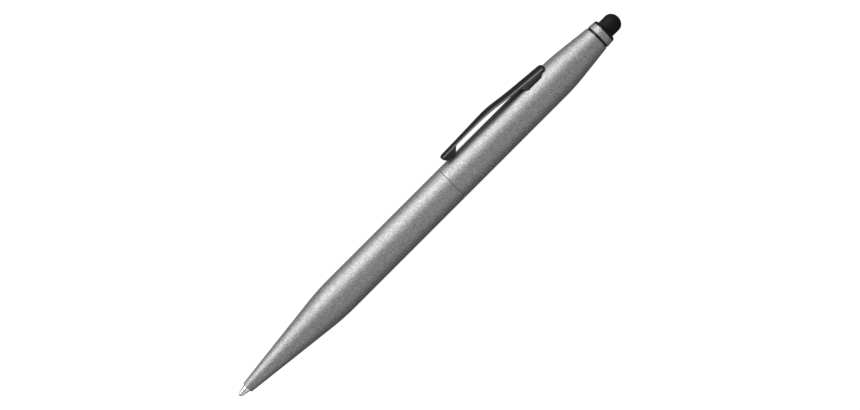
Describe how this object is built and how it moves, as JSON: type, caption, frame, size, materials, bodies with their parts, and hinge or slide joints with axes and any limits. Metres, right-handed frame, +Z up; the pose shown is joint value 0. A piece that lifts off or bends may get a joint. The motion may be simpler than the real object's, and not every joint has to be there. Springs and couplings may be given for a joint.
{
  "type": "twist ballpoint pen",
  "caption": "Metal ballpoint pen that opens with a twist, with a long nose cone, a springy side clip and a soft domed touch-screen tip.",
  "frame": {"origin": "on the surface that the pen lies on, under the middle of its length, at the mount rest_face on the lower barrel", "axes": "+X along the pen from the ball to the touch tip, +Z up from the surface; the clip points to +Y and 22.5 degrees up"},
  "size_m": [0.1408, 0.013, 0.0103],
  "materials": {
    "metallic_grey_paint": "fine metallic flake under a satin clear coat",
    "dark_plated_metal": "polished black nickel plating",
    "black_gloss_plastic": "moulded, polished",
    "black_silicone": "matt, conductive",
    "chromed_tip_metal": "bright nickel silver, turned",
    "carbide_ball": "ground and inked",
    "turned_brass": "as turned",
    "drawn_steel": "drawn, satin",
    "black_acetal": "moulded",
    "white_nylon": "moulded",
    "black_rubber": "matt",
    "black_ink": "paste"
  },
  "bodies": {
    "lower": {"lower_barrel": "metallic_grey_paint", "nose_guide_bush": "turned_brass", "lower_bush": "black_acetal"},
    "mechanism": {"mechanism_spigot": "turned_brass", "grip_ring": "black_rubber", "guide_tube": "drawn_steel", "thrust_washer": "white_nylon", "retaining_ring": "drawn_steel"},
    "upper": {"upper_barrel": "metallic_grey_paint", "upper_bush": "black_acetal", "cam_sleeve": "drawn_steel", "clip_foot": "dark_plated_metal", "clip_lock_bush": "turned_brass", "top_insert": "turned_brass", "groove_ring": "black_gloss_plastic", "finial_band": "metallic_grey_paint", "stylus_collar": "black_gloss_plastic"},
    "clip": {"clip_arm": "dark_plated_metal"},
    "touch_tip": {"stylus_dome": "black_silicone", "stylus_stud": "black_acetal"},
    "refill": {"carrier": "turned_brass", "follower_pin": "drawn_steel", "refill_stem": "black_acetal", "refill_tube": "drawn_steel", "ink_column": "black_ink", "refill_tip": "chromed_tip_metal"},
    "ball": {"writing_ball": "carbide_ball"}
  },
  "joints": [
    {"name": "halves_pull", "type": "slide", "parent": "lower", "child": "mechanism", "axis": [1, 0, 0], "range_m": [0, 0.012]},
    {"name": "barrel_twist", "type": "hinge", "parent": "mechanism", "child": "upper", "pos_m": [0.00859, 0, 0.00513], "axis": [1, 0, 0], "range_deg": [0, 180]},
    {"name": "refill_travel", "type": "slide", "parent": "mechanism", "child": "refill", "axis": [1, 0, 0], "range_m": [0, 0.006]},
    {"name": "clip_flex", "type": "hinge", "parent": "upper", "child": "clip", "pos_m": [0.03508, 0.00633, 0.00775], "axis": [0, 0.3827, -0.9239], "range_deg": [0, 6], "stiffness_Nm_per_rad": 1.5},
    {"name": "touch_tip_pull", "type": "slide", "parent": "upper", "child": "touch_tip", "axis": [1, 0, 0], "range_m": [0, 0.007]},
    {"name": "ball_roll", "type": "hinge", "parent": "refill", "child": "ball", "pos_m": [-0.06993, 0, 0.00513], "axis": [0, 1, 0], "continuous": true}
  ],
  "couplings": [
    {"joint": "barrel_twist", "follows": "refill_travel", "rad_per_m": 523.6}
  ]
}
